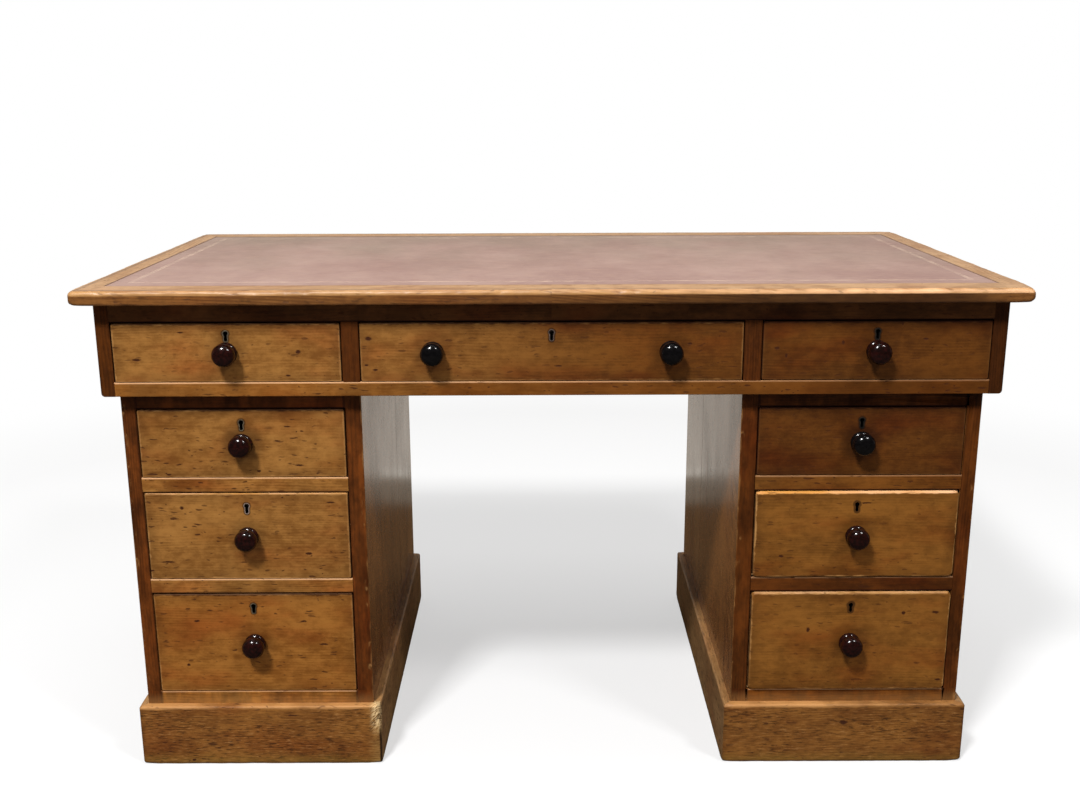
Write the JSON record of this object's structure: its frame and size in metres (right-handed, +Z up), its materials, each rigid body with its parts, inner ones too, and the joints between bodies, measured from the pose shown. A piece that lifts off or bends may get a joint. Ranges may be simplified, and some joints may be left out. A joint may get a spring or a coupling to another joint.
{
  "type": "kneehole desk",
  "caption": "Pine kneehole writing desk: leather-inset top with frieze drawers, on pedestals of graduated locking drawers with turned knobs and plinths.",
  "frame": {"origin": "on the floor under the middle of the top", "axes": "+X to the right as seen from the front, +Y from the drawers to the back, +Z up"},
  "size_m": [1.365, 0.7265, 0.762],
  "materials": {
    "top_pine": "waxed, worn pine border",
    "case_pine": "waxed dark pine boards",
    "rail_pine": "waxed pine rails",
    "front_pine": "waxed honey pine with knots and dents",
    "plinth_pine": "waxed pine skirting, worn on the ledge",
    "inner_pine": "bare pine",
    "knob": "polished dark red-brown turned wood",
    "ebonised_knob": "polished ebonised turned wood",
    "leather": "faded, tooled writing leather",
    "brass": "dull aged brass",
    "steel": "dull steel"
  },
  "bodies": {
    "desk": {"top_border": "top_pine", "top_panel": "inner_pine", "leather_inset": "leather", "frieze_ends": "case_pine", "frieze_back": "case_pine", "frieze_rails": "rail_pine", "frieze_partitions": "case_pine", "frieze_runners": "inner_pine", "left_pedestal_case": "case_pine", "right_pedestal_case": "case_pine", "pedestal_rails": "rail_pine", "pedestal_runners": "inner_pine", "left_plinth": "plinth_pine", "right_plinth": "plinth_pine", "carcass_screws": "steel"},
    "frieze_left_drawer": {"frieze_left_drawer_front": "front_pine", "frieze_left_drawer_box": "inner_pine", "frieze_left_drawer_knob": "knob", "frieze_left_drawer_lock": "brass"},
    "frieze_left_bolt": {"frieze_left_drawer_bolt": "steel"},
    "frieze_centre_drawer": {"frieze_centre_drawer_front": "front_pine", "frieze_centre_drawer_box": "inner_pine", "frieze_centre_drawer_knobs": "ebonised_knob", "frieze_centre_drawer_lock": "brass"},
    "frieze_centre_bolt": {"frieze_centre_drawer_bolt": "steel"},
    "frieze_right_drawer": {"frieze_right_drawer_front": "front_pine", "frieze_right_drawer_box": "inner_pine", "frieze_right_drawer_knob": "knob", "frieze_right_drawer_lock": "brass"},
    "frieze_right_bolt": {"frieze_right_drawer_bolt": "steel"},
    "left_top_drawer": {"left_top_drawer_front": "front_pine", "left_top_drawer_box": "inner_pine", "left_top_drawer_knob": "knob", "left_top_drawer_lock": "brass"},
    "left_top_bolt": {"left_top_drawer_bolt": "steel"},
    "left_middle_drawer": {"left_middle_drawer_front": "front_pine", "left_middle_drawer_box": "inner_pine", "left_middle_drawer_knob": "knob", "left_middle_drawer_lock": "brass"},
    "left_middle_bolt": {"left_middle_drawer_bolt": "steel"},
    "left_bottom_drawer": {"left_bottom_drawer_front": "front_pine", "left_bottom_drawer_box": "inner_pine", "left_bottom_drawer_knob": "knob", "left_bottom_drawer_lock": "brass"},
    "left_bottom_bolt": {"left_bottom_drawer_bolt": "steel"},
    "right_top_drawer": {"right_top_drawer_front": "front_pine", "right_top_drawer_box": "inner_pine", "right_top_drawer_knob": "ebonised_knob", "right_top_drawer_lock": "brass"},
    "right_top_bolt": {"right_top_drawer_bolt": "steel"},
    "right_middle_drawer": {"right_middle_drawer_front": "front_pine", "right_middle_drawer_box": "inner_pine", "right_middle_drawer_knob": "knob", "right_middle_drawer_lock": "brass"},
    "right_middle_bolt": {"right_middle_drawer_bolt": "steel"},
    "right_bottom_drawer": {"right_bottom_drawer_front": "front_pine", "right_bottom_drawer_box": "inner_pine", "right_bottom_drawer_knob": "knob", "right_bottom_drawer_lock": "brass"},
    "right_bottom_bolt": {"right_bottom_drawer_bolt": "steel"}
  },
  "joints": [
    {"name": "frieze_left_drawer_slide", "type": "slide", "parent": "desk", "child": "frieze_left_drawer", "axis": [0, -1, 0], "range_m": [0, 0.4]},
    {"name": "frieze_left_bolt_throw", "type": "slide", "parent": "frieze_left_drawer", "child": "frieze_left_bolt", "axis": [0, 0, 1], "range_m": [0, 0.007]},
    {"name": "frieze_centre_drawer_slide", "type": "slide", "parent": "desk", "child": "frieze_centre_drawer", "axis": [0, -1, 0], "range_m": [0, 0.4]},
    {"name": "frieze_centre_bolt_throw", "type": "slide", "parent": "frieze_centre_drawer", "child": "frieze_centre_bolt", "axis": [0, 0, 1], "range_m": [0, 0.007]},
    {"name": "frieze_right_drawer_slide", "type": "slide", "parent": "desk", "child": "frieze_right_drawer", "axis": [0, -1, 0], "range_m": [0, 0.4]},
    {"name": "frieze_right_bolt_throw", "type": "slide", "parent": "frieze_right_drawer", "child": "frieze_right_bolt", "axis": [0, 0, 1], "range_m": [0, 0.007]},
    {"name": "left_top_drawer_slide", "type": "slide", "parent": "desk", "child": "left_top_drawer", "axis": [0, -1, 0], "range_m": [0, 0.4]},
    {"name": "left_top_bolt_throw", "type": "slide", "parent": "left_top_drawer", "child": "left_top_bolt", "axis": [0, 0, 1], "range_m": [0, 0.007]},
    {"name": "left_middle_drawer_slide", "type": "slide", "parent": "desk", "child": "left_middle_drawer", "axis": [0, -1, 0], "range_m": [0, 0.4]},
    {"name": "left_middle_bolt_throw", "type": "slide", "parent": "left_middle_drawer", "child": "left_middle_bolt", "axis": [0, 0, 1], "range_m": [0, 0.007]},
    {"name": "left_bottom_drawer_slide", "type": "slide", "parent": "desk", "child": "left_bottom_drawer", "axis": [0, -1, 0], "range_m": [0, 0.4]},
    {"name": "left_bottom_bolt_throw", "type": "slide", "parent": "left_bottom_drawer", "child": "left_bottom_bolt", "axis": [0, 0, 1], "range_m": [0, 0.007]},
    {"name": "right_top_drawer_slide", "type": "slide", "parent": "desk", "child": "right_top_drawer", "axis": [0, -1, 0], "range_m": [0, 0.4]},
    {"name": "right_top_bolt_throw", "type": "slide", "parent": "right_top_drawer", "child": "right_top_bolt", "axis": [0, 0, 1], "range_m": [0, 0.007]},
    {"name": "right_middle_drawer_slide", "type": "slide", "parent": "desk", "child": "right_middle_drawer", "axis": [0, -1, 0], "range_m": [0, 0.4]},
    {"name": "right_middle_bolt_throw", "type": "slide", "parent": "right_middle_drawer", "child": "right_middle_bolt", "axis": [0, 0, 1], "range_m": [0, 0.007]},
    {"name": "right_bottom_drawer_slide", "type": "slide", "parent": "desk", "child": "right_bottom_drawer", "axis": [0, -1, 0], "range_m": [0, 0.4]},
    {"name": "right_bottom_bolt_throw", "type": "slide", "parent": "right_bottom_drawer", "child": "right_bottom_bolt", "axis": [0, 0, 1], "range_m": [0, 0.007]}
  ]
}
